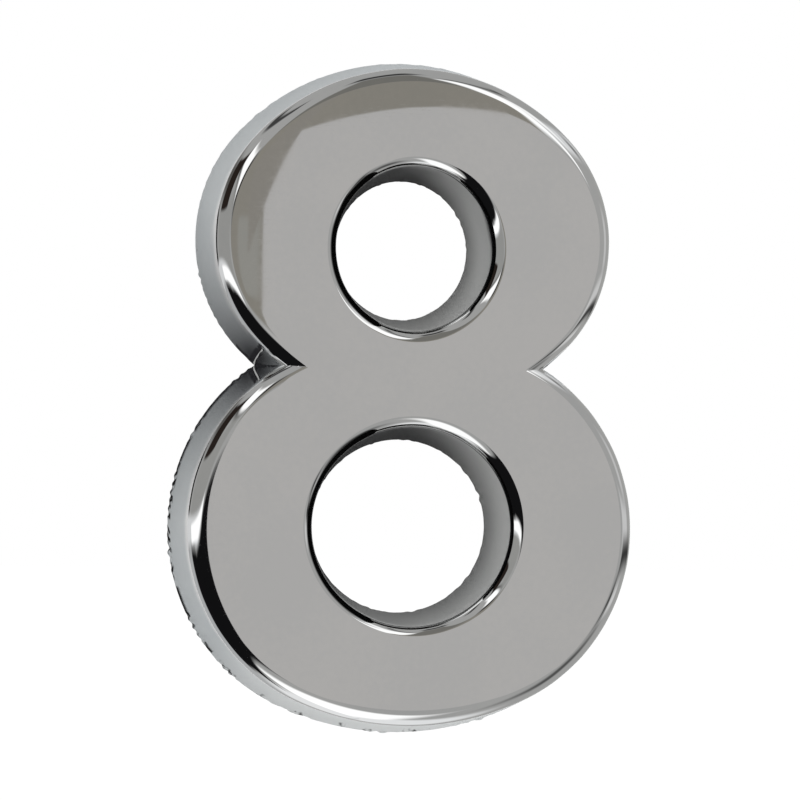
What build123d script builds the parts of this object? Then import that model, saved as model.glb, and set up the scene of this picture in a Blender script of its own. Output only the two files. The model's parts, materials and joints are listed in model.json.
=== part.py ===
# House number: the digit eight, moulded in one piece with a hollow, ribbed back.
# Millimetres. X runs right and Z up as the number is read, and the front faces -Y.
# The origin is on the back plane, in the middle of the waist between the two counters.
import os
from math import atan2, cos, degrees, pi, radians, sin, tan

from build123d import *

# Outline on the back plane. Each bowl and counter is an oval of four tangent arcs, and
# its relief is how much smaller the radius at its ends is than half its shorter size.
crown_height = 35.5  # top of the number above the origin
foot_depth = 39.5  # foot of the number below the origin
upper_width = 47.0
upper_height = 40.2
upper_relief = 2.6
lower_width = 52.6
lower_height = 45.6
lower_relief = 1.0
upper_counter_width = 15.3
upper_counter_height = 15.6
upper_counter_rise = 14.5  # its centre above the origin
lower_counter_width = 20.1
lower_counter_height = 19.4
lower_counter_drop = 16.4  # its centre below the origin
counter_relief = 0.3

# Section through the stroke
depth = 7.8
rim_land = 0.5  # straight land at the parting line, behind the drafted flank
outer_draft = 9.0  # degrees
counter_draft = 12.0  # degrees
edge_round = 1.55
edge_bands = 6  # narrow bands that the rounded edge is turned in
wall = 1.6
skin = 1.8  # thickness behind the face

# Ribs in the hollow, set back from the rim so that the rim seats on a wall
rib = 1.2
rib_setback = 0.5
land_diameter = 5.0  # round lands on the spine, level with the rim

floor = depth - skin  # how far the hollow reaches in from the back
span = 2 * (crown_height + foot_depth)  # longer than any rib


def half_section(radius, draft, side):
    """Half the section of a bowl (side 1) or of the opening in a counter (side -1), from
    its axis out: the rim, a straight land, the drafted flank and the rounded edge. The
    corners of the edge's bands lie on the true round, which the flank and the face both
    touch, and six bands keep within about 0.01 mm of it."""
    lean = radians(draft)
    flank_end = depth - edge_round * (1 - sin(lean))
    centre_x = radius - side * ((flank_end - rim_land) * tan(lean) + edge_round * cos(lean))
    centre_y = edge_round - depth
    edge = []
    for band in range(edge_bands + 1):
        angle = lean + (pi / 2 - lean) * band / edge_bands
        across = side * edge_round * cos(angle)
        edge.append((centre_x + across, centre_y - edge_round * sin(angle)))
    corners = [(0, -depth), (0, 0), (radius, 0), (radius, -rim_land), *edge]
    return make_face(Polyline(*corners, close=True))


class Oval:
    """One bowl or counter: four tangent arcs about the middle of its outline."""

    def __init__(self, width, height, relief, centre_z, draft, side):
        self.width = width
        self.height = height
        self.relief = relief
        self.centre_z = centre_z
        self.draft = draft
        self.side = side  # 1 for a bowl, which narrows forwards, and -1 for a counter

    def arcs(self, grow=0.0):
        """Each arc's centre, radius, first angle and angle turned, for a level oval."""
        long_half = max(self.width, self.height) / 2 + grow
        short_half = min(self.width, self.height) / 2 + grow
        end_radius = short_half - self.relief
        reach = long_half - end_radius  # from the middle to the centre of an end arc
        side_radius = (reach**2 + short_half**2 - end_radius**2) / (2 * self.relief)
        rise = side_radius - short_half  # from the middle to the centre of a side arc
        join = degrees(atan2(rise, reach))
        return [
            ((reach, 0), end_radius, -join, 2 * join),
            ((0, -rise), side_radius, join, 180 - 2 * join),
            ((-reach, 0), end_radius, 180 - join, 2 * join),
            ((0, rise), side_radius, 180 + join, 180 - 2 * join),
        ]

    def stand(self, shape):
        """Seat a shape drawn about a level oval's middle, upright where the oval is."""
        turn = 0 if self.width >= self.height else -90
        return Pos(0, 0, self.centre_z) * Rot(0, turn, 0) * shape

    def outside(self):
        """The whole form up to the front, a sector turned about each arc's centre."""
        axis = Axis((0, 0, 0), (0, -1, 0))
        sectors = []
        for (x, z), radius, first, angle in self.arcs():
            sector = revolve(half_section(radius, self.draft, self.side), axis, angle)
            sectors.append(self.stand(Pos(x, 0, z) * Rot(0, -first, 0) * sector))
        return sectors[0].fuse(*sectors[1:])

    def inside(self, grow):
        """The drafted block as deep as the hollow, a wall larger or smaller all round."""
        outline = make_face([CenterArc(*arc) for arc in self.arcs(grow)])
        seat = Plane(origin=(0, 0, 0), x_dir=(1, 0, 0), z_dir=(0, -1, 0))
        return self.stand(extrude(seat * outline, amount=floor, taper=self.side * self.draft))


upper_bowl = Oval(
    upper_width, upper_height, upper_relief, crown_height - upper_height / 2, outer_draft, 1
)
lower_bowl = Oval(
    lower_width, lower_height, lower_relief, lower_height / 2 - foot_depth, outer_draft, 1
)
upper_counter = Oval(
    upper_counter_width, upper_counter_height, counter_relief, upper_counter_rise, counter_draft, -1
)
lower_counter = Oval(
    lower_counter_width, lower_counter_height, counter_relief, -lower_counter_drop, counter_draft, -1
)
counters = [upper_counter, lower_counter]


def figure():
    """The solid figure: the two bowls, whose rounded edges run into a mitre at the
    notches, less the openings of the counters."""
    solid = upper_bowl.outside() + lower_bowl.outside()
    for counter in counters:
        solid -= counter.outside()
    return solid


def ribs():
    """A spine and a crossbar through each counter's middle, with round lands on the spine
    in the middle of the crown, the waist and the foot."""
    mid = -(floor + rib_setback) / 2
    bar_depth = floor - rib_setback
    solid = Pos(0, mid, 0) * Box(rib, bar_depth, span)
    for counter in counters:
        solid += Pos(0, mid, counter.centre_z) * Box(span, bar_depth, rib)
    crown_land = (crown_height + upper_counter_rise + upper_counter_height / 2) / 2
    foot_land = (foot_depth + lower_counter_drop + lower_counter_height / 2) / 2
    for height in [crown_land, 0, -foot_land]:
        seat = Plane(origin=(0, 0, height), z_dir=(0, -1, 0))
        solid += extrude(seat * Circle(land_diameter / 2), amount=floor)
    return solid


def hollow():
    """The space behind the face, inside the bowls' wall and outside the counters' walls."""
    space = upper_bowl.inside(-wall) + lower_bowl.inside(-wall)
    for counter in counters:
        space -= counter.inside(wall)
    return space - ribs()


def number_eight():
    """The whole moulding."""
    return figure() - hollow()


if __name__ == "__main__":
    os.makedirs("parts", exist_ok=True)
    moulding = number_eight()
    print(f"number_eight: {moulding.volume / 1000:.2f} cm3, valid {moulding.is_valid}")
    export_step(moulding, "parts/number_eight.step")
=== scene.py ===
# House number, the digit eight: bright chrome plating on one moulding with a hollow, ribbed back.
# The surface is worked out with numpy from the same ovals and section as the solid that it replaces.
import json
import math

import bmesh
import bpy
import numpy as np
from mathutils import Matrix, Vector
from mathutils.geometry import delaunay_2d_cdt

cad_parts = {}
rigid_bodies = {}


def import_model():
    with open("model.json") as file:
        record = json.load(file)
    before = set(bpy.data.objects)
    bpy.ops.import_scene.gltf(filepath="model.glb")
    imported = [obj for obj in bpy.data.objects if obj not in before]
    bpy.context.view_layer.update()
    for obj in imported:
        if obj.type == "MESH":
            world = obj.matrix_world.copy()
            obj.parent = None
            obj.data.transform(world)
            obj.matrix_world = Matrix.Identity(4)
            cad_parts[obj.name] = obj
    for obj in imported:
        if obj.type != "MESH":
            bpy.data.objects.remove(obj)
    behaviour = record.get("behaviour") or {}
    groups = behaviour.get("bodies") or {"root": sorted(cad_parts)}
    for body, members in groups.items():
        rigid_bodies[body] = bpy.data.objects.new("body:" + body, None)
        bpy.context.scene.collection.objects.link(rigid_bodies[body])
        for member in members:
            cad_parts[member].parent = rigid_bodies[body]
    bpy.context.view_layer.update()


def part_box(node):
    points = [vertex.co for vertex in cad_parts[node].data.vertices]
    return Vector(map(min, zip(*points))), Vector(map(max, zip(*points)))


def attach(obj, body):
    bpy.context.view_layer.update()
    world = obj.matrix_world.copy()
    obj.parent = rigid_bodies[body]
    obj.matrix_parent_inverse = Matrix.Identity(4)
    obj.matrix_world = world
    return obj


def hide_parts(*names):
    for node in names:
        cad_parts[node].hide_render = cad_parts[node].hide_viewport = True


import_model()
mm = 0.001
fullTurn = 2 * math.pi
nearby = 2e-7  # metres between points that are merged into one
exactness = 1e-7  # millimetres, for the triangles of the flat areas
sharpFrom = 35.0  # degrees between two faces whose edge is shaded as a sharp one

# Outline of the number on its back plane, in millimetres, as the solid has it
outline = {
    "crownHeight": 35.5,
    "footDepth": 39.5,
    "upperWidth": 47.0,
    "upperHeight": 40.2,
    "upperRelief": 2.6,
    "lowerWidth": 52.6,
    "lowerHeight": 45.6,
    "lowerRelief": 1.0,
    "upperCounterWidth": 15.3,
    "upperCounterHeight": 15.6,
    "upperCounterRise": 14.5,
    "lowerCounterWidth": 20.1,
    "lowerCounterHeight": 19.4,
    "lowerCounterDrop": 16.4,
    "counterRelief": 0.3,
}

# Section through the stroke, in millimetres and degrees
section = {
    "depth": 7.8,
    "rimLand": 0.5,
    "rimRound": 0.12,  # the plated corner at the back rim
    "outerDraft": 9.0,
    "counterDraft": 12.0,
    "edgeRound": 1.55,
    "crownFall": 0.004,  # how much the face falls towards its edges
    "crownReach": 0.8,  # how far in from the round the fall starts
    "wall": 1.6,
    "skin": 1.8,
}

# Rows of points along the section and columns round each form
divisions = {
    "rimRound": 3,
    "land": 5,
    "rimZone": 7,
    "flank": 5,
    "edge": 14,
    "crown": 2,
    "upper": 560,
    "lower": 720,
    "upperCounter": 300,
    "lowerCounter": 360,
    "hollow": 160,
    "lands": 64,
}

# Uneven plating, in millimetres: nodules at the back rim and a soft ripple over the sides
uneven = {
    "rimHeight": 0.05,
    "rimReach": 1.4,  # how far from the back plane the nodules run
    "upperShare": 0.5,  # of that height on the upper bowl, whose rim is cleaner
    "rimWaves": (60, 150),  # waves in a full turn round an oval of the wave radius
    "waveRadius": 25.0,
    "rimDrift": 3.5,  # how much the waves lean, in radians for each millimetre of depth
    "patchWaves": (5, 23),
    "patchMiddle": 0.5,  # share of the nodules' height that a patch has, on average
    "patchSwing": 0.7,
    "patchLimits": (0.05, 1.5),
    "rippleHeight": 0.008,
    "rippleWaves": (9, 34),
    "rippleDrift": 0.5,
    "rippleFullness": 0.7,  # under 1 keeps the ripple high further towards the rim and the face
    "sines": 9,  # in each sum of waves
    "seed": 8,
    "fade": 1.5,  # degrees from a notch over which it fades in
}

# Ribs and lands in the hollow back, in millimetres
ribbing = {
    "width": 1.2,
    "setback": 0.5,
    "landDiameter": 5.0,
    "spare": 0.5,  # how far the cutting blocks run past what they cut
}


def makeOval(width, height, relief, centreZ):
    # Four tangent arcs: two of endRadius about (+-reach, 0) and two of sideRadius about (0, -+rise).
    longHalf, shortHalf = max(width, height) / 2, min(width, height) / 2
    endRadius = shortHalf - relief
    reach = longHalf - endRadius
    sideRadius = (reach**2 + shortHalf**2 - endRadius**2) / (2 * relief)
    rise = sideRadius - shortHalf
    return {
        "endRadius": endRadius,
        "reach": reach,
        "sideRadius": sideRadius,
        "rise": rise,
        "join": math.atan2(rise, reach),
        "tall": height > width,
        "centreZ": centreZ,
    }


def ovalPoint(oval, angle, inset):
    # Point of the outline whose outward normal makes this angle with X: the arc's centre plus
    # (radius - inset) along the normal. The quarter is worked out once and mirrored by signs.
    turned = math.pi / 2 - angle if oval["tall"] else angle
    c, s = np.cos(turned), np.sin(turned)
    folded = np.arctan2(np.abs(s), np.abs(c))
    onEnd = folded < oval["join"]
    radius = np.where(onEnd, oval["endRadius"], oval["sideRadius"]) - inset
    along = np.sign(c) * (np.where(onEnd, oval["reach"], 0.0) + radius * np.cos(folded))
    across = np.sign(s) * (np.where(onEnd, 0.0, -oval["rise"]) + radius * np.sin(folded))
    x, z = (across, along) if oval["tall"] else (along, across)
    return x, z + oval["centreZ"]


upperBowl = makeOval(
    outline["upperWidth"],
    outline["upperHeight"],
    outline["upperRelief"],
    outline["crownHeight"] - outline["upperHeight"] / 2,
)
lowerBowl = makeOval(
    outline["lowerWidth"],
    outline["lowerHeight"],
    outline["lowerRelief"],
    outline["lowerHeight"] / 2 - outline["footDepth"],
)
upperCounter = makeOval(
    outline["upperCounterWidth"],
    outline["upperCounterHeight"],
    outline["counterRelief"],
    outline["upperCounterRise"],
)
lowerCounter = makeOval(
    outline["lowerCounterWidth"],
    outline["lowerCounterHeight"],
    outline["counterRelief"],
    -outline["lowerCounterDrop"],
)
counters = (("upper", upperCounter), ("lower", lowerCounter))

# Search for the notch: where it starts on each bowl in degrees, its step in radians, its rounds
notchSearch = {
    "upperStart": -58.0,
    "lowerStart": 62.0,
    "step": 1e-5,
    "rounds": 30,
}


def notchAngles(inset):
    # Newton's method on both ovals' angles at once, for every inset: the right notch is where the
    # upper oval's point and the lower oval's point meet.
    upper = np.full(inset.shape, math.radians(notchSearch["upperStart"]))
    lower = np.full(inset.shape, math.radians(notchSearch["lowerStart"]))
    step = notchSearch["step"]
    for _ in range(notchSearch["rounds"]):
        ux, uz = ovalPoint(upperBowl, upper, inset)
        lx, lz = ovalPoint(lowerBowl, lower, inset)
        ux1, uz1 = ovalPoint(upperBowl, upper + step, inset)
        lx1, lz1 = ovalPoint(lowerBowl, lower + step, inset)
        a, b = (ux1 - ux) / step, -(lx1 - lx) / step
        c, d = (uz1 - uz) / step, -(lz1 - lz) / step
        fx, fz = ux - lx, uz - lz
        det = a * d - b * c
        upper = upper - (d * fx - b * fz) / det
        lower = lower - (a * fz - c * fx) / det
    return upper, lower


def sectionStations(draft):
    # Inset and distance from the back plane at each row, from the rim's flat to the flat of the
    # face: a small corner round, the land, the drafted flank, the edge's round and the crown's fall.
    lean = math.radians(draft)
    depth, edge, corner = section["depth"], section["edgeRound"], section["rimRound"]
    turn = np.linspace(0, math.pi / 2, divisions["rimRound"] + 1)
    rim = np.stack([corner * (1 - np.sin(turn)), corner * (1 - np.cos(turn))], 1)
    out = np.linspace(corner, section["rimLand"], divisions["land"] + 1)[1:]
    land = np.stack([np.zeros(len(out)), out], 1)
    drop = section["crownFall"]
    flankEnd = depth - drop - edge * (1 - math.sin(lean))
    zone = np.linspace(section["rimLand"], uneven["rimReach"], divisions["rimZone"] + 1)[1:]
    rest = np.linspace(uneven["rimReach"], flankEnd, divisions["flank"] + 1)[1:]
    out = np.concatenate([zone, rest])
    flank = np.stack([(out - section["rimLand"]) * math.tan(lean), out], 1)
    centre = flank[-1, 0] + edge * math.cos(lean)
    turn = np.linspace(lean, math.pi / 2, divisions["edge"] + 1)[1:]
    roundEdge = np.stack([centre - edge * np.cos(turn), depth - drop - edge * (1 - np.sin(turn))], 1)
    share = np.linspace(0, 1, divisions["crown"] + 1)[1:]
    fall = drop * (1 - np.sin(share * math.pi / 2))
    crown = np.stack([centre + share * section["crownReach"], depth - fall], 1)
    return np.concatenate([rim, land, flank, roundEdge, crown])


rng = np.random.default_rng(uneven["seed"])


def sineSum(angle, out, waves, drift, size=1.0):
    # Sum of several sines round the oval, each with a whole number of waves in a turn and a phase
    # that drifts with the distance from the back plane, over the root of half their number.
    total = np.zeros(np.broadcast(angle, out).shape)
    for _ in range(uneven["sines"]):
        count = max(1, round(rng.integers(*waves) * size))
        phase, lean = rng.uniform(0, fullTurn), rng.normal(0, drift)
        total += np.sin(count * angle + phase + lean * out)
    return total / math.sqrt(uneven["sines"] / 2)


def unevenness(angle, out, oval):
    # Nodules near the rim times their patches, plus the ripple from the rim to the face. The
    # nodules' height grows with the root of the oval's size.
    onLand = np.cos(np.clip(out / uneven["rimReach"], 0, 1) * math.pi / 2) ** 2
    size = (oval["endRadius"] + oval["reach"]) / uneven["waveRadius"]
    swing = uneven["patchSwing"] * sineSum(angle, out * 0, uneven["patchWaves"], 0)
    patches = np.clip(uneven["patchMiddle"] + swing, *uneven["patchLimits"])
    nodules = sineSum(angle, out, uneven["rimWaves"], uneven["rimDrift"], size)
    onSide = np.sin(np.clip(out / section["depth"], 0, 1) * math.pi) ** uneven["rippleFullness"]
    ripple = sineSum(angle, out, uneven["rippleWaves"], uneven["rippleDrift"], size)
    height = uneven["rimHeight"] * math.sqrt(size) * (uneven["upperShare"] if oval is upperBowl else 1)
    return height * onLand * patches * nodules + uneven["rippleHeight"] * onSide * ripple


def ringPoints(oval, stations, count, side, rough=False):
    # Closed grid round a whole oval: rows are the section's stations, columns are normal angles.
    angle = np.linspace(0, fullTurn, count, endpoint=False)[None, :]
    inset, out = stations[:, :1], stations[:, 1:]
    if rough:
        inset = inset + unevenness(angle, out, oval)
    x, z = ovalPoint(oval, angle, side * inset)
    return np.stack([x, np.broadcast_to(-out, x.shape), z], 2)


def bowlPoints(oval, first, last, stations, count, rough=False):
    # Open grid round a bowl between its two notches, whose angles differ from row to row.
    share = np.linspace(0, 1, count + 1)[None, :]
    angle = first[:, None] + (last - first)[:, None] * share
    inset, out = stations[:, :1], stations[:, 1:]
    if rough:
        fromNotch = np.degrees(np.minimum(angle - first[:, None], last[:, None] - angle))
        inset = inset + unevenness(angle, out, oval) * np.clip(fromNotch / uneven["fade"], 0, 1)
    x, z = ovalPoint(oval, angle, inset)
    return np.stack([x, np.broadcast_to(-out, x.shape), z], 2)


def bothBowls(stations, upperCount, lowerCount, rough=False):
    # The upper and the lower bowl's grids, each running anticlockwise from notch to notch.
    upper, lower = notchAngles(stations[:, 0])
    return (
        bowlPoints(upperBowl, upper, math.pi - upper, stations, upperCount, rough),
        bowlPoints(lowerBowl, math.pi - lower, fullTurn + lower, stations, lowerCount, rough),
    )


def joined(bowls):
    # One closed ring of points a row from the two bowls' grids.
    return np.concatenate([bowl[:, :-1] for bowl in bowls], 1)


def gridFaces(start, rows, count, closed, flip):
    # Quads between neighbouring rows and columns of a grid whose vertices begin at start.
    column = np.arange(count if closed else count - 1)
    row = np.arange(rows - 1)[:, None]
    here = start + row * count + column
    beside = start + row * count + (column + 1) % count
    quads = np.stack([here, beside, beside + count, here + count], 2).reshape(-1, 4)
    return quads[:, ::-1] if flip else quads


def crossings(points, loop):
    # How many sides of a closed loop a ray from each point towards +X crosses.
    after = np.roll(loop, -1, 0)
    px, pz = points[:, :1], points[:, 1:]
    ax, az, bx, bz = loop[:, 0], loop[:, 1], after[:, 0], after[:, 1]
    span = np.where(az == bz, 1.0, bz - az)
    return (((az > pz) != (bz > pz)) & (px < ax + (pz - az) * (bx - ax) / span)).sum(1)


def fillPlane(rings, y):
    # Flat area between closed rings on their own points: a triangle stays where its middle has
    # an odd number of rings round it.
    loops = [ring[:, [0, 2]] for ring in rings]
    edges, start = [], 0
    for loop in loops:
        index = start + np.arange(len(loop))
        edges += np.stack([index, np.roll(index, -1)], 1).tolist()
        start += len(loop)
    flat, _, faces, *_ = delaunay_2d_cdt(np.concatenate(loops).tolist(), edges, [], 0, exactness)
    flat, tris = np.array(flat), np.array(faces)
    middle = flat[tris].mean(1)
    kept = sum(crossings(middle, loop) for loop in loops) % 2 == 1
    return np.stack([flat[:, 0], np.full(len(flat), y), flat[:, 1]], 1), tris[kept]


def makeMesh(name, points, faces, materialIndex=0):
    # Closed mesh from points in millimetres, with a slot each for the bright and the dull plating.
    mesh = bpy.data.meshes.new(name)
    mesh.from_pydata((points * mm).tolist(), [], faces)
    mesh.materials.append(None)
    mesh.materials.append(None)
    mesh.polygons.foreach_set("material_index", np.full(len(mesh.polygons), materialIndex, np.int32))
    closeMesh(mesh)
    return mesh


def closeMesh(mesh):
    # Doubles merged and every face turned outwards.
    bm = bmesh.new()
    bm.from_mesh(mesh)
    bmesh.ops.remove_doubles(bm, verts=bm.verts, dist=nearby)
    bmesh.ops.recalc_face_normals(bm, faces=bm.faces)
    bm.to_mesh(mesh)
    bm.free()


def countOpenEdges(mesh):
    # Edges that don't lie between exactly two faces.
    used = np.empty(len(mesh.loops), np.int32)
    mesh.loops.foreach_get("edge_index", used)
    return int((np.bincount(used, minlength=len(mesh.edges)) != 2).sum())


def addObject(name, mesh):
    # An object at the origin, unturned and unscaled.
    piece = bpy.data.objects.new(name, mesh)
    bpy.context.scene.collection.objects.link(piece)
    return piece


def loft(name, rings):
    # Closed block through two or more closed rings of points, with a flat cap on each end.
    rings = np.asarray(rings)
    levels, count = rings.shape[:2]
    faces = gridFaces(0, levels, count, True, False).tolist()
    faces.append(list(range(count)))
    faces.append(list(range(levels * count - 1, (levels - 1) * count - 1, -1)))
    return addObject(name, makeMesh(name, rings.reshape(-1, 3), faces, 1))


hollowDepth = section["depth"] - section["skin"]


def wallRows(draft, spare):
    # Inset and distance from the back plane of a wall's inner side, at the rim and at the hollow's
    # floor and past both by the spare lengths: the wall plus the distance times the lean.
    out = np.array([-spare[0], hollowDepth + spare[1]])
    return np.stack([section["wall"] + out * math.tan(math.radians(draft)), out], 1)


def rib(name, halfX, centreZ, halfZ):
    # Bar across the hollow, set back from the rim and let into the floor.
    corners = [(-halfX, -halfZ), (halfX, -halfZ), (halfX, halfZ), (-halfX, halfZ)]
    levels = (ribbing["setback"], hollowDepth + ribbing["spare"])
    return loft(name, [[(x, -out, z + centreZ) for x, z in corners] for out in levels])


def land(name, centreZ):
    # Round post on the spine, level with the rim: it starts behind the hollow's block, which
    # starts a spare length behind the rim.
    angle = np.linspace(0, fullTurn, divisions["lands"], endpoint=False)
    radius = ribbing["landDiameter"] / 2
    x, z = radius * np.cos(angle), centreZ + radius * np.sin(angle)
    levels = (-2 * ribbing["spare"], hollowDepth + ribbing["spare"])
    return loft(name, [np.stack([x, np.full(len(angle), -out), z], 1) for out in levels])


def cut(piece, cutters):
    # Boolean difference of a piece and several others, applied to the piece's mesh.
    group = bpy.data.collections.new("cutters")
    bpy.context.scene.collection.children.link(group)
    for cutter in cutters:
        group.objects.link(cutter)
    modifier = piece.modifiers.new("cut", "BOOLEAN")
    modifier.operand_type = "COLLECTION"
    modifier.collection = group
    modifier.operation = "DIFFERENCE"
    modifier.solver = "EXACT"
    evaluated = piece.evaluated_get(bpy.context.evaluated_depsgraph_get())
    result = bpy.data.meshes.new_from_object(evaluated)
    piece.modifiers.clear()
    piece.data = result
    for cutter in cutters:
        bpy.data.objects.remove(cutter)
    bpy.data.collections.remove(group)
    return result


def makeHollow():
    # The space behind the face: both bowls a wall in, less the counters' walls, ribs and lands. A
    # land stands in the middle of the crown, of the waist and of the foot.
    spare, count = ribbing["spare"], divisions["hollow"]
    bowlWall = wallRows(section["outerDraft"], (spare, 0))
    counterWall = wallRows(section["counterDraft"], (2 * spare, spare))
    hollow = loft("hollow", joined(bothBowls(bowlWall, count, count)))
    half = ribbing["width"] / 2
    longest = outline["crownHeight"] + outline["footDepth"]
    cores = [rib("spine", half, 0, longest)]
    for name, oval in counters:
        cores.append(loft(name + "Core", ringPoints(oval, counterWall, count, -1)))
        cores.append(rib(name + "Bar", longest, oval["centreZ"], half))
    crown = (outline["crownHeight"] + outline["upperCounterRise"] + outline["upperCounterHeight"] / 2) / 2
    foot = (outline["footDepth"] + outline["lowerCounterDrop"] + outline["lowerCounterHeight"] / 2) / 2
    for name, height in (("crownLand", crown), ("waistLand", 0), ("footLand", -foot)):
        cores.append(land(name, height))
    cut(hollow, cores)
    return hollow


def makeBody():
    # Sides and rounds as grids, face and back filled on the grids' last and first rows.
    outside = sectionStations(section["outerDraft"])
    inside = sectionStations(section["counterDraft"])
    bowls = bothBowls(outside, divisions["upper"], divisions["lower"], True)
    rings = [
        ringPoints(upperCounter, inside, divisions["upperCounter"], -1, True),
        ringPoints(lowerCounter, inside, divisions["lowerCounter"], -1, True),
    ]
    points, faces, start = [], [], 0
    for grid, closed in ((bowls[0], False), (bowls[1], False), (rings[0], True), (rings[1], True)):
        faces.extend(gridFaces(start, grid.shape[0], grid.shape[1], closed, closed).tolist())
        points.append(grid.reshape(-1, 3))
        start += len(points[-1])
    outer = joined(bowls)
    for row, y in ((-1, -section["depth"]), (0, 0.0)):
        flat, tris = fillPlane([outer[row], rings[0][row], rings[1][row]], y)
        faces.extend((tris + start).tolist())
        points.append(flat)
        start += len(flat)
    return addObject("number_eight_body", makeMesh("number_eight_body", np.concatenate(points), faces))


print("shaping the front and sides")
body = makeBody()
print("hollowing the back")
hollow = makeHollow()
mesh = cut(body, [hollow])
mesh.name = "number_eight_body"
closeMesh(mesh)
mesh.calc_loop_triangles()
print("body:", countOpenEdges(mesh), "open edges,", len(mesh.loop_triangles), "triangles")
mesh.polygons.foreach_set("use_smooth", np.ones(len(mesh.polygons), bool))
mesh.set_sharp_from_angle(angle=math.radians(sharpFrom))
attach(body, "root")
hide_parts("number_eight")


def feed(tree, socket, value):
    # The input's value: a number or colour of its own, or a link from another socket.
    if isinstance(value, bpy.types.NodeSocket):
        tree.links.new(value, socket)
    else:
        socket.default_value = value


def addNode(tree, kind, settings, **inputs):
    # A node with its settings and inputs. An underscore stands for a space in an input's name.
    node = tree.nodes.new(kind)
    for key, value in settings.items():
        setattr(node, key, value)
    for key, value in inputs.items():
        feed(tree, node.inputs[key.replace("_", " ")], value)
    return node


def calc(tree, operation, *values):
    # A Math node's result from numbers and other sockets.
    node = tree.nodes.new("ShaderNodeMath")
    node.operation = operation
    for socket, value in zip(node.inputs, values):
        feed(tree, socket, value)
    return node.outputs[0]


def remap(tree, value, low, high, toLow=0.0, toHigh=1.0):
    # The value's way from low to high, smooth at both ends, laid on another range.
    node = addNode(
        tree,
        "ShaderNodeMapRange",
        {"interpolation_type": "SMOOTHSTEP"},
        Value=value,
        From_Min=low,
        From_Max=high,
        To_Min=toLow,
        To_Max=toHigh,
    )
    return node.outputs["Result"]


def blend(tree, mask, first, second):
    # The first colour where the mask is 0 and the second where it is 1. Each is a socket or three
    # numbers.
    node = addNode(tree, "ShaderNodeMix", {"data_type": "RGBA"}, Factor=mask)
    for name, colour in (("A", first), ("B", second)):
        feed(tree, node.inputs[name], (*colour, 1) if isinstance(colour, tuple) else colour)
    return node.outputs["Result"]


def addNoise(tree, place, scale, detail, **inputs):
    # Soft noise of so many waves to the metre, in so many octaves. It lies mostly near 0.5.
    node = addNode(tree, "ShaderNodeTexNoise", {}, Vector=place, Scale=scale, Detail=detail, **inputs)
    return node.outputs["Fac"]


def newGroup(name, inputs, outputs):
    # A shader node group with its named sockets, each a number with its default, or a vector where
    # the default is None. It gives the group, and the sockets to read from and write to inside it.
    group = bpy.data.node_groups.new(name, "ShaderNodeTree")
    for socketName, default in inputs.items():
        kind = "NodeSocketVector" if default is None else "NodeSocketFloat"
        made = group.interface.new_socket(name=socketName, in_out="INPUT", socket_type=kind)
        if default is not None:
            made.default_value = default
    for socketName in outputs:
        group.interface.new_socket(name=socketName, in_out="OUTPUT", socket_type="NodeSocketFloat")
    given, result = group.nodes.new("NodeGroupInput"), group.nodes.new("NodeGroupOutput")
    return group, given.outputs, result.inputs


# Mottle of thin plating: soft clouds with a finer grain in them, and thin polishing hairlines.
# Scales are waves to the metre.
mottle = {
    "cloudScale": 120.0,
    "cloudDetail": 3.0,
    "cloudRange": (0.36, 0.64),  # noise from which the clouds rise, and where they are full
    "grainScale": 1500.0,
    "grainDetail": 2.0,
    "grainShare": 0.35,
    "hairlineTurn": 28.0,  # degrees that the hairlines lean
    "hairlineStretch": 34.0,  # how much finer they are across than along
    "hairlineScale": 70.0,
    "hairlineDetail": 3.0,
    "hairlineRoughness": 0.7,
    "hairlineWidth": 0.006,  # noise to either side of its middle that makes a hairline
}


def makeMottleGroup():
    # Clouds: the two noises, each times its share, brought to 0 to 1. Hairlines: 1 where a
    # stretched noise crosses its middle.
    group, given, result = newGroup(
        "platingMottle",
        {
            "Vector": None,
            "Cloud Scale": mottle["cloudScale"],
            "Grain Scale": mottle["grainScale"],
            "Grain Share": mottle["grainShare"],
        },
        ["Clouds", "Grain", "Hairlines"],
    )
    place, share = given["Vector"], given["Grain Share"]
    cloud = addNoise(group, place, given["Cloud Scale"], mottle["cloudDetail"])
    grain = addNoise(group, place, given["Grain Scale"], mottle["grainDetail"])
    clouds = calc(group, "MULTIPLY", cloud, calc(group, "SUBTRACT", 1.0, share))
    mixed = calc(group, "ADD", clouds, calc(group, "MULTIPLY", grain, share))
    stretched = addNode(
        group,
        "ShaderNodeMapping",
        {},
        Vector=place,
        Rotation=(0.0, math.radians(mottle["hairlineTurn"]), 0.0),
        Scale=(1.0, 1.0, mottle["hairlineStretch"]),
    )
    strands = addNoise(
        group,
        stretched.outputs[0],
        mottle["hairlineScale"],
        mottle["hairlineDetail"],
        Roughness=mottle["hairlineRoughness"],
    )
    offMiddle = calc(group, "ABSOLUTE", calc(group, "SUBTRACT", strands, 0.5))
    feed(group, result["Clouds"], remap(group, mixed, *mottle["cloudRange"]))
    feed(group, result["Grain"], grain)
    feed(group, result["Hairlines"], remap(group, offMiddle, 0.0, mottle["hairlineWidth"], 1.0, 0.0))
    return group


mottleGroup = makeMottleGroup()


def newMaterial(name):
    # A material, its node tree, its Principled shader's inputs and its object's coordinates.
    material = bpy.data.materials.new(name)
    material.use_nodes = True
    tree = material.node_tree
    place = tree.nodes.new("ShaderNodeTexCoord").outputs["Object"]
    return material, tree, tree.nodes["Principled BSDF"].inputs, place


def addMottle(tree, place, look):
    # The mottle's masks at a plating's own scales.
    scales = {"Cloud_Scale": look["cloudScale"], "Grain_Scale": look["grainScale"]}
    node = addNode(tree, "ShaderNodeGroup", {"node_tree": mottleGroup}, Vector=place, **scales)
    return node.outputs


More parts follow.
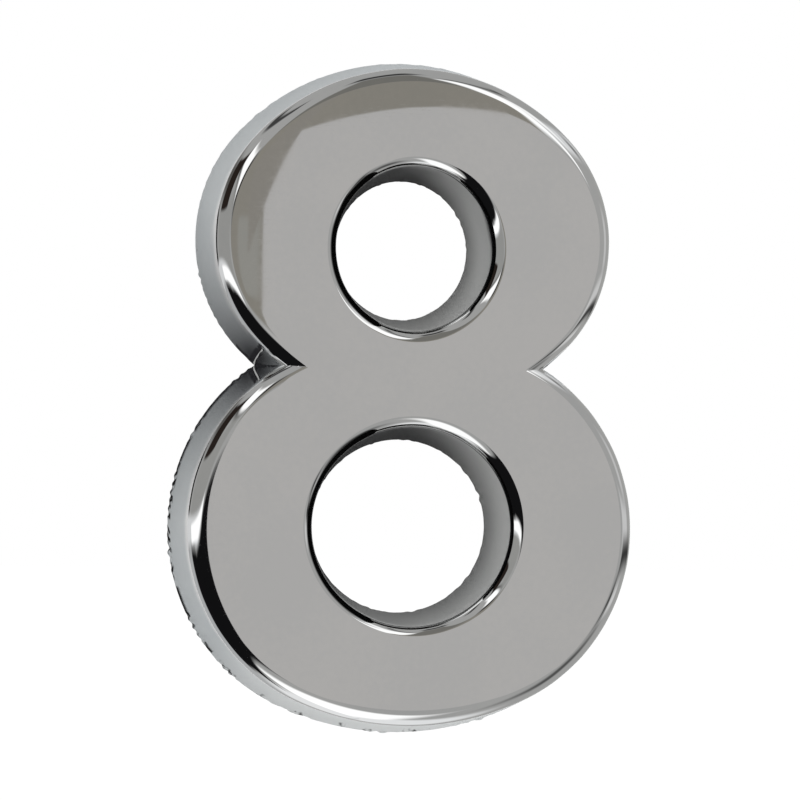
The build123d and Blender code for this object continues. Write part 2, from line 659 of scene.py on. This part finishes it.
def addBump(tree, height, look):
    # A normal from a mask of heights, whose 1 is the plating's bump height in metres.
    size = {"Distance": look["bumpHeight"], "Strength": look["bumpShare"]}
    return addNode(tree, "ShaderNodeBump", {}, Height=height, **size).outputs[0]


# The plating where it is bright, outside: a clear polish with faint waves, haze and hairlines
bright = {
    "colours": ((0.735, 0.74, 0.74), (0.765, 0.765, 0.76)),
    "roughness": (0.012, 0.035),
    "hairlineRoughness": 0.05,
    "cloudScale": 90.0,
    "grainScale": 1300.0,
    "bumpHeight": 0.000002,
    "bumpShare": 0.25,
    "waveScale": 260.0,
    "waveDetail": 1.0,
}


def makeBrightChrome():
    # Roughness: from low to high with the clouds, plus the hairlines.
    material, tree, shader, place = newMaterial("chrome_bright")
    masks = addMottle(tree, place, bright)
    low, high = bright["roughness"]
    haze = calc(tree, "MULTIPLY_ADD", masks["Clouds"], high - low, low)
    lines = calc(tree, "MULTIPLY", masks["Hairlines"], bright["hairlineRoughness"])
    waves = addNoise(tree, place, bright["waveScale"], bright["waveDetail"])
    shader["Metallic"].default_value = 1
    feed(tree, shader["Base Color"], blend(tree, masks["Clouds"], *bright["colours"]))
    feed(tree, shader["Roughness"], calc(tree, "ADD", haze, lines))
    feed(tree, shader["Normal"], addBump(tree, waves, bright))
    return material


# The plating where it is thin and dull, in the hollow back, with depths in metres from the rim
dull = {
    "colours": ((0.45, 0.44, 0.42), (0.60, 0.595, 0.58)),
    "roughness": (0.24, 0.42),
    "cloudScale": 240.0,
    "grainScale": 2600.0,
    "bumpHeight": 0.00003,
    "bumpShare": 0.5,
    "brightDepth": 0.0002,  # from here the plating turns dull
    "dullDepth": 0.0030,  # and here it is at its dullest
    "cloudGain": 0.45,  # share of the dullness that the clouds take away
}


def makeDullChrome():
    # Thin: how deep in, times 1 less the clouds' gain. Colour and roughness go from the bright
    # plating's to the mottled dull ones with it.
    material, tree, shader, place = newMaterial("chrome_dull")
    masks = addMottle(tree, place, dull)
    forwards = addNode(tree, "ShaderNodeSeparateXYZ", {}, Vector=place).outputs["Y"]
    depthIn = calc(tree, "MULTIPLY", forwards, -1.0)
    deep = remap(tree, depthIn, dull["brightDepth"], dull["dullDepth"])
    kept = calc(tree, "MULTIPLY_ADD", masks["Clouds"], -dull["cloudGain"], 1.0)
    thin = calc(tree, "MULTIPLY", deep, kept)
    mottled = blend(tree, masks["Clouds"], *dull["colours"])
    low, high = dull["roughness"]
    gloss = bright["roughness"][1]
    matt = calc(tree, "MULTIPLY_ADD", masks["Clouds"], low - high, high)
    spread = calc(tree, "MULTIPLY", thin, calc(tree, "SUBTRACT", matt, gloss))
    shader["Metallic"].default_value = 1
    feed(tree, shader["Base Color"], blend(tree, thin, bright["colours"][1], mottled))
    feed(tree, shader["Roughness"], calc(tree, "ADD", spread, gloss))
    feed(tree, shader["Normal"], addBump(tree, masks["Grain"], dull))
    return material


print("plating")
mesh.materials[0] = makeBrightChrome()
mesh.materials[1] = makeDullChrome()

print("setting the stage")
paperRoughness = 0.9

# Floor, in metres
floorLook = {
    "gap": 0.02,  # the number hangs this far over the floor, as it would on a door
    "front": -0.4,
    "back": 2.0,
    "halfWidth": 1.5,
    "colour": (0.9, 0.9, 0.9),
    "glow": 0.14,  # lifts the lit floor to white for the camera, and leaves its shadow
}


def newPaper(name, colour):
    # Matt paper without any shine, as newMaterial gives it.
    material, tree, shader, place = newMaterial(name)
    shader["Base Color"].default_value = (*colour, 1)
    shader["Roughness"].default_value = paperRoughness
    shader["Specular IOR Level"].default_value = 0.0
    return material, tree, shader, place


def addPaper(name, points, faces, material):
    # A thin piece of the stage, from points in metres.
    paperMesh = bpy.data.meshes.new(name)
    paperMesh.from_pydata(points, [], faces)
    paperMesh.materials.append(material)
    return addObject(name, paperMesh)


def mirrorOnly(piece):
    # Seen by reflections alone, so it lights nothing and stays out of every picture.
    piece.visible_camera = False
    piece.visible_diffuse = False
    piece.visible_shadow = False
    piece.visible_volume_scatter = False


def makeFloorPaper():
    # Paper with a little light of its own, for the rays that show the background and no others.
    material, tree, shader, _ = newPaper("pale_floor", floorLook["colour"])
    path = tree.nodes.new("ShaderNodeLightPath").outputs
    mirrored = calc(tree, "MAXIMUM", path["Is Glossy Ray"], path["Is Transmission Ray"])
    shown = calc(tree, "MAXIMUM", path["Is Camera Ray"], mirrored)
    shader["Emission Color"].default_value = (1, 1, 1, 1)
    feed(tree, shader["Emission Strength"], calc(tree, "MULTIPLY", shown, floorLook["glow"]))
    return material


def makeFloor():
    # One flat sheet under the number and far behind it.
    wide, near, far = floorLook["halfWidth"], floorLook["front"], floorLook["back"]
    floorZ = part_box("number_eight")[0].z - floorLook["gap"]
    corners = [(-wide, near, floorZ), (wide, near, floorZ), (wide, far, floorZ), (-wide, far, floorZ)]
    return addPaper("floor", corners, [(0, 1, 2, 3)], makeFloorPaper())


floor = makeFloor()
floor.visible_glossy = False  # the chrome mirrors the tent, whose lower part is as white

# The card that the number would lie on, which only the chrome sees: pale paper painted with shade, greyer
# near the outline and paler at its outer edge and at its foot where the painted shade lifts, with a
# painted shadow dark in the left notch and painted contact shadow in patches where it touches the number.
# Ways outside the outline are in millimetres, and places and heights in metres.
cardLook = {
    "gap": 0.5,  # millimetres behind the back plane
    "rows": (0.0, 0.35, 0.7, 1.1, 1.6, 2.2, 2.6, 3.0, 3.4, 3.9, 4.5),  # outside the outline
    # the paper greyed by painted shade near the number
    "colour": (0.69, 0.72, 0.735),
    "footColour": (0.93, 0.95, 0.95),
    "footHeights": (-0.041, -0.030),  # the foot's colour up to the first, gone by the second
    "edgeColour": (0.95, 0.95, 0.95),
    "edgeRange": (2.4, 3.5),  # outside the outline, where the edge's colour comes in as the painted shade lifts
    # painted contact shadow where the card touches the number
    "contactColour": (0.02, 0.02, 0.02),
    "contactShadowRange": (0.6, 0.9),  # outside the outline, where the patches of painted contact shadow go out
    "patchScale": 620.0,
    "patchDetail": 2.0,
    "patchLevel": 0.64,  # noise above this is a patch of painted contact shadow, at the foot
    "patchSteps": ((-0.034, -0.14), (-0.014, -0.12), (0.0035, 0.40)),  # its changes going up
    "patchStepReach": 0.001,
    "patchBlur": 0.05,  # noise to either side of the level over which a patch fades
    # middle of the painted shade in the left notch
    "notch": (-0.0183, 0.0, 0.0013),
    "notchShadeRise": 8.0,  # share of painted light gained for each square root of a metre from the notch
    "notchShadeCore": 0.14,  # taken off that share, which leaves a core of painted shade
    # colour of the painted shade in the notch
    "notchShadeColour": (0.05, 0.05, 0.055),
}


def makeShadedCardPaper():
    # Lit: the painted light, the square root of the way from the notch times the rise, less the core,
    # which paints shade into the notch. The level of the painted contact shadow's patches is the foot's
    # plus each step's gain above its height, which makes them most of the strip in the lower bowl and few
    # of it in the upper.
    material, tree, shader, place = newPaper("card_painted_shade", cardLook["colour"])
    outside = addNode(tree, "ShaderNodeAttribute", {"attribute_name": "outside"}).outputs["Fac"]
    away = addNode(tree, "ShaderNodeVectorMath", {"operation": "DISTANCE"})
    feed(tree, away.inputs[0], place)
    feed(tree, away.inputs[1], cardLook["notch"])
    root = calc(tree, "SQRT", away.outputs["Value"])
    lit = calc(tree, "MULTIPLY_ADD", root, cardLook["notchShadeRise"], -cardLook["notchShadeCore"])
    lit = calc(tree, "MINIMUM", calc(tree, "MAXIMUM", lit, 0.0), 1.0)
    height = addNode(tree, "ShaderNodeSeparateXYZ", {}, Vector=place).outputs["Z"]
    atFoot = remap(tree, height, *cardLook["footHeights"], 1.0, 0.0)
    atEdge = remap(tree, outside, *cardLook["edgeRange"])
    contactShadowReach = remap(tree, outside, *cardLook["contactShadowRange"], 1.0, 0.0)
    noise = addNoise(tree, place, cardLook["patchScale"], cardLook["patchDetail"])
    level, reach, blur = cardLook["patchLevel"], cardLook["patchStepReach"], cardLook["patchBlur"]
    for rise, gain in cardLook["patchSteps"]:
        level = calc(tree, "ADD", remap(tree, height, rise - reach, rise + reach, 0.0, gain), level)
    contactShadowPatches = remap(tree, calc(tree, "SUBTRACT", noise, level), -blur, blur)
    paper = blend(tree, atFoot, cardLook["colour"], cardLook["footColour"])
    paper = blend(tree, atEdge, paper, cardLook["edgeColour"])
    paper = blend(tree, calc(tree, "MULTIPLY", contactShadowPatches, contactShadowReach), paper, cardLook["contactColour"])
    feed(tree, shader["Base Color"], blend(tree, lit, cardLook["notchShadeColour"], paper))
    return material


def makeSheet():
    # A grid between the outline and the outline grown by the last row. Each point carries how far
    # it lies outside the outline.
    reach, count = np.array(cardLook["rows"]), divisions["hollow"]
    stations = np.stack([-reach, np.full(len(reach), -cardLook["gap"])], 1)
    rows = joined(bothBowls(stations, count, count)) * mm
    faces = gridFaces(0, rows.shape[0], rows.shape[1], True, False)
    piece = addPaper("backing_card", rows.reshape(-1, 3).tolist(), faces.tolist(), makeShadedCardPaper())
    outside = piece.data.attributes.new("outside", "FLOAT", "POINT")
    outside.data.foreach_set("value", np.repeat(reach, rows.shape[1]).astype(np.float32))
    return piece


sheet = makeSheet()
mirrorOnly(sheet)

# A card behind each counter, in shares of the counter's half size: painted shade, dark in the middle,
# with a paler ring whose painted shade deepens towards the wall, the top and the left
counterLook = {
    "paintedShadeColour": (0.015, 0.015, 0.017),
    "paintedLightColour": (0.60, 0.605, 0.60),
    "ringStart": (0.28, 0.46),
    "ringEnd": (0.60, 1.0),
    "atWall": 0.45,  # share of the ring's painted light that is left in the painted shade at the wall
    "lean": -0.9,  # how much a way up counts as a way to the left
    "side": (-0.7, 0.7),  # from the side in painted shade to the side in painted light
    "atLeft": 0.22,  # share of the ring's painted light that is left on the side in painted shade
}


def makeCounterShadePaper():
    # The ring's painted light: its start times its end times its side; outside it the card keeps its
    # painted shade.
    material, tree, shader, place = newPaper("card_counter_painted_shade", counterLook["paintedShadeColour"])
    away = addNode(tree, "ShaderNodeVectorMath", {"operation": "LENGTH"})
    feed(tree, away.inputs[0], place)
    away = away.outputs["Value"]
    apart = addNode(tree, "ShaderNodeSeparateXYZ", {}, Vector=place).outputs
    wallShade = remap(tree, away, *counterLook["ringEnd"], 1.0, counterLook["atWall"])
    ring = calc(tree, "MULTIPLY", remap(tree, away, *counterLook["ringStart"]), wallShade)
    leaning = calc(tree, "MULTIPLY_ADD", apart["Z"], counterLook["lean"], apart["X"])
    sideLight = remap(tree, leaning, *counterLook["side"], counterLook["atLeft"], 1.0)
    lit = calc(tree, "MULTIPLY", ring, sideLight)
    colour = blend(tree, lit, counterLook["paintedShadeColour"], counterLook["paintedLightColour"])
    feed(tree, shader["Base Color"], colour)
    return material


# A small black card that stands on edge in each counter's middle, a painted shade that only the chrome
# sees and that lays painted dark reflections in the chrome round the counters, in metres
flagLook = {
    "colour": (0.004, 0.004, 0.004),
    "reach": (-0.0005, -0.0150),  # from near the back plane to in front of the face
    "fade": (-0.0150, -0.0105),  # in front of the face, from clear to black
    "share": 0.45,  # of the counter's half height
}


def makeShadeFlagPaper():
    # Painted shade: black on both sides inside the counter, and in front of the face on the left side
    # alone, with a fade to the front.
    material, tree, shader, place = newPaper("flag_painted_shade", flagLook["colour"])
    front = addNode(tree, "ShaderNodeSeparateXYZ", {}, Vector=place).outputs["Y"]
    faded = remap(tree, front, *flagLook["fade"])
    turnedAway = tree.nodes.new("ShaderNodeNewGeometry").outputs["Backfacing"]
    onLeft = calc(tree, "MULTIPLY", calc(tree, "SUBTRACT", 1.0, turnedAway), faded)
    inside = calc(tree, "GREATER_THAN", front, -section["depth"] * mm)
    feed(tree, shader["Alpha"], calc(tree, "MAXIMUM", inside, onLeft))
    return material


def makeDisc(name, oval, material):
    # A unit disc, brought to the counter's half size and place.
    turn = np.linspace(0, fullTurn, divisions["lands"], endpoint=False)
    rim = np.stack([np.cos(turn), np.zeros(len(turn)), np.sin(turn)], 1)
    piece = addPaper(name + "_counter_card", rim.tolist(), [list(range(len(rim)))], material)
    halfX, halfZ = outline[name + "CounterWidth"] / 2 * mm, outline[name + "CounterHeight"] / 2 * mm
    piece.scale = (halfX, 1.0, halfZ)
    piece.location = (0.0, cardLook["gap"] * mm, oval["centreZ"] * mm)
    return piece


def makeFlag(name, oval, material):
    # One upright sheet on the number's middle plane, which faces left.
    half = outline[name + "CounterHeight"] / 2 * mm * flagLook["share"]
    low, high = oval["centreZ"] * mm - half, oval["centreZ"] * mm + half
    near, far = flagLook["reach"]
    corners = [(0, near, low), (0, far, low), (0, far, high), (0, near, high)]
    return addPaper(name + "_shade_flag", corners, [(0, 1, 2, 3)], material)


counterShadePaper, shadeFlagPaper = makeCounterShadePaper(), makeShadeFlagPaper()
for name, oval in counters:
    disc = makeDisc(name, oval, counterShadePaper)
    mirrorOnly(disc)
    flag = makeFlag(name, oval, shadeFlagPaper)
    mirrorOnly(flag)


def softStep(tree, value, softness):
    # 0 below minus the softness, 1 above it and smooth between.
    return remap(tree, value, calc(tree, "MULTIPLY", softness, -1.0), softness)


def makePanelGroup():
    # A panel of light on the tent: 1 where the azimuth is within the half width of its middle and
    # the elevation within the half height of its middle line, with soft edges. The middle line is
    # the middle elevation + slope * across + bow * across squared, and the half height grows by
    # taper * across.
    group, given, result = newGroup(
        "studioPanel",
        {
            "Azimuth": 0.0,
            "Elevation": 0.0,
            "Middle Azimuth": 0.0,
            "Middle Elevation": 0.0,
            "Half Width": 10.0,
            "Half Height": 10.0,
            "Softness": 1.0,
            "Slope": 0.0,
            "Bow": 0.0,
            "Taper": 0.0,
        },
        ["Mask"],
    )
    turned = calc(group, "SUBTRACT", given["Azimuth"], given["Middle Azimuth"])
    across = calc(group, "WRAP", turned, 180.0, -180.0)
    bowed = calc(group, "MULTIPLY_ADD", given["Bow"], across, given["Slope"])
    line = calc(group, "MULTIPLY_ADD", bowed, across, given["Middle Elevation"])
    half = calc(group, "MULTIPLY_ADD", given["Taper"], across, given["Half Height"])
    off = calc(group, "ABSOLUTE", calc(group, "SUBTRACT", given["Elevation"], line))
    away = calc(group, "ABSOLUTE", across)
    inWidth = softStep(group, calc(group, "SUBTRACT", given["Half Width"], away), given["Softness"])
    inHeight = softStep(group, calc(group, "SUBTRACT", half, off), given["Softness"])
    feed(group, result["Mask"], calc(group, "MULTIPLY", inWidth, inHeight))
    return group


# The tent round the number: a soft grey dome with white, grey and black panels, placed in degrees
# as seen from its middle. Azimuth 0 is straight out of the face and positive to the right,
# elevation 0 is level. Colours are radiances, and a later panel covers an earlier one.
tentLook = {
    "radius": 0.15,  # metres
    "divisions": 5,
    "colour": (0.43, 0.43, 0.425),
}
panelSockets = {
    "az": "Middle Azimuth",
    "el": "Middle Elevation",
    "w": "Half Width",
    "h": "Half Height",
    "soft": "Softness",
    "slope": "Slope",
    "bow": "Bow",
    "taper": "Taper",
}
panels = [
    # below: the white lower part, and what stands in it
    dict(az=0, el=-90, w=181, h=25, soft=7, colour=(0.98, 0.99, 1.0)),
    dict(az=-125, el=-38, w=30, h=26, soft=8, colour=(0.50, 0.51, 0.52)),
    dict(az=50, el=-38, w=12, h=12, soft=9, colour=(0.10, 0.10, 0.10)),
    dict(az=-8, el=-62, w=26, h=22, soft=5, colour=(1.35, 1.35, 1.35), slope=0.25),
    # to the left, for the left rounds and sides
    dict(az=-58, el=10, w=46, h=14, soft=5, colour=(0.36, 0.36, 0.35)),
    dict(az=-129, el=4, w=13, h=15, soft=5, colour=(0.01, 0.01, 0.01)),
    dict(az=-112, el=33, w=22, h=9, soft=7, colour=(0.12, 0.115, 0.11)),
    dict(az=-84, el=60, w=46, h=3.5, soft=2, colour=(0.06, 0.06, 0.06)),
    dict(az=-25, el=25, w=28, h=5, soft=3, colour=(0.05, 0.048, 0.045), slope=-0.5),
    dict(az=-76, el=31, w=24, h=12, soft=1.5, colour=(0.024, 0.018, 0.015)),
    dict(az=-30, el=30, w=18, h=5.5, soft=2, colour=(1.35, 1.35, 1.35), slope=-0.6),
    dict(az=-76, el=-7.5, w=64, h=5, soft=2, colour=(0.80, 0.81, 0.82)),
    dict(az=-52, el=-7.5, w=38, h=3.5, soft=1.2, colour=(1.35, 1.35, 1.35), slope=0.05),
    dict(az=-80, el=-37, w=17, h=23, soft=3, colour=(0.007, 0.007, 0.0075)),
    dict(az=-31, el=-27, w=36, h=18, soft=2, colour=(0.007, 0.007, 0.0075), slope=0.48, taper=-0.28),
    # to the right and above, for the right rounds and the counters' right walls
    dict(az=95, el=38, w=60, h=5, soft=3, colour=(0.85, 0.86, 0.87), slope=-0.15, bow=-0.005),
    dict(az=45, el=52, w=22, h=2, soft=2, colour=(0.13, 0.13, 0.13), slope=0.25),
    dict(az=8, el=69, w=20, h=6, soft=4, colour=(0.04, 0.04, 0.04)),
    dict(az=62, el=-5, w=20, h=4, soft=3, colour=(0.70, 0.70, 0.70)),
    dict(az=118, el=5, w=26, h=30, soft=8, colour=(0.44, 0.44, 0.43)),
    dict(az=74, el=9, w=9, h=8, soft=4, colour=(0.64, 0.64, 0.64)),
    dict(az=79, el=-12, w=30, h=3, soft=3, colour=(0.05, 0.05, 0.05)),
    dict(az=44, el=-17.5, w=8, h=3, soft=3, colour=(0.08, 0.08, 0.08)),
    dict(az=66, el=-22, w=12, h=3, soft=3, colour=(0.75, 0.75, 0.75)),
    dict(az=86, el=38, w=12, h=4, soft=4, colour=(0.28, 0.28, 0.28)),
    dict(az=36, el=37, w=14, h=6, soft=2.5, colour=(1.2, 1.2, 1.2)),
    # in front, for the rounds beside the face and then for the face, brown above and grey below
    dict(az=8, el=32, w=11, h=28, soft=1.5, colour=(0.20, 0.195, 0.18)),
    dict(az=26, el=29, w=7, h=13, soft=1.5, colour=(1.35, 1.35, 1.35)),
    dict(az=9, el=12, w=12, h=9, soft=0.8, colour=(0.288, 0.273, 0.241)),
    dict(
        az=17.5,
        el=-1.28,
        w=12.43,
        h=16.8,
        soft=0.06,
        colour=(0.525, 0.515, 0.507),
        slope=-0.114,
        bow=-0.0214,
    ),
    dict(az=4.2, el=7.4, w=0.7, h=2.2, soft=0.25, colour=(0.335, 0.33, 0.305)),
    dict(az=6, el=15.02, w=1.8, h=2.5, soft=0.06, colour=(0.288, 0.273, 0.247), slope=2.2, bow=-0.35),
    dict(az=14, el=-8, w=12.3, h=10, soft=0.1, colour=(0.525, 0.515, 0.507)),
]


def makeTent():
    # Azimuth: the angle of X against the way forwards. Elevation: the arcsine of Z. Both are of the
    # point of the dome, so the colour stays with the stage.
    material, tree, _, place = newMaterial("studio_tent")
    material.cycles.emission_sampling = "NONE"
    tree.nodes.remove(tree.nodes["Principled BSDF"])
    direction = addNode(tree, "ShaderNodeVectorMath", {"operation": "NORMALIZE"})
    feed(tree, direction.inputs[0], place)
    apart = addNode(tree, "ShaderNodeSeparateXYZ", {}, Vector=direction.outputs[0]).outputs
    forwards = calc(tree, "MULTIPLY", apart["Y"], -1.0)
    azimuth = calc(tree, "DEGREES", calc(tree, "ARCTAN2", apart["X"], forwards))
    elevation = calc(tree, "DEGREES", calc(tree, "ARCSINE", apart["Z"]))
    panelGroup = {"node_tree": makePanelGroup()}
    colour = tentLook["colour"]
    for panel in panels:
        node = addNode(tree, "ShaderNodeGroup", panelGroup, Azimuth=azimuth, Elevation=elevation)
        for key, socketName in panelSockets.items():
            node.inputs[socketName].default_value = panel.get(key, 0)
        colour = blend(tree, node.outputs["Mask"], colour, panel["colour"])
    light = addNode(tree, "ShaderNodeEmission", {}, Color=colour)
    feed(tree, tree.nodes["Material Output"].inputs["Surface"], light.outputs[0])
    tentMesh = bpy.data.meshes.new("studio_tent")
    bm = bmesh.new()
    bmesh.ops.create_icosphere(bm, subdivisions=tentLook["divisions"], radius=tentLook["radius"])
    bm.to_mesh(tentMesh)
    bm.free()
    tentMesh.materials.append(material)
    return addObject("studio_tent", tentMesh)


tent = makeTent()
mirrorOnly(tent)

# Plain soft white light from all round, which is the background too
world = bpy.data.worlds.new("studio")
bpy.context.scene.world = world
world.use_nodes = True
world.node_tree.nodes["Background"].inputs["Color"].default_value = (1, 1, 1, 1)

print("placing the camera")
# The photograph's view, from a little below the number's middle and from its left. Angles are in
# degrees, distance and aim in metres, and lens and sensor in millimetres.
view = {
    "yaw": 14.0,
    "pitch": 0.87,
    "roll": 0.62,
    "distance": 0.56175,
    "aim": (0.00018, -0.00005, -0.00224),
    "lens": 225.0,
    "sensor": 36.0,
}
yaw, pitch, roll = (math.radians(view[k]) for k in ("yaw", "pitch", "roll"))
forward = Vector((math.sin(yaw) * math.cos(pitch), math.cos(yaw) * math.cos(pitch), math.sin(pitch)))
level = Vector((math.cos(yaw), -math.sin(yaw), 0))
above = level.cross(forward)
right = math.cos(roll) * level + math.sin(roll) * above
up = -math.sin(roll) * level + math.cos(roll) * above
place = Vector(view["aim"]) - view["distance"] * forward
cameraData = bpy.data.cameras.new("camera")
cameraData.lens = view["lens"]
cameraData.sensor_width = view["sensor"]
camera = addObject("camera", cameraData)
camera.matrix_world = Matrix(
    [
        (right.x, up.x, -forward.x, place.x),
        (right.y, up.y, -forward.y, place.y),
        (right.z, up.z, -forward.z, place.z),
        (0, 0, 0, 1),
    ]
)
bpy.context.scene.camera = camera
bpy.context.scene.view_settings.view_transform = "Standard"
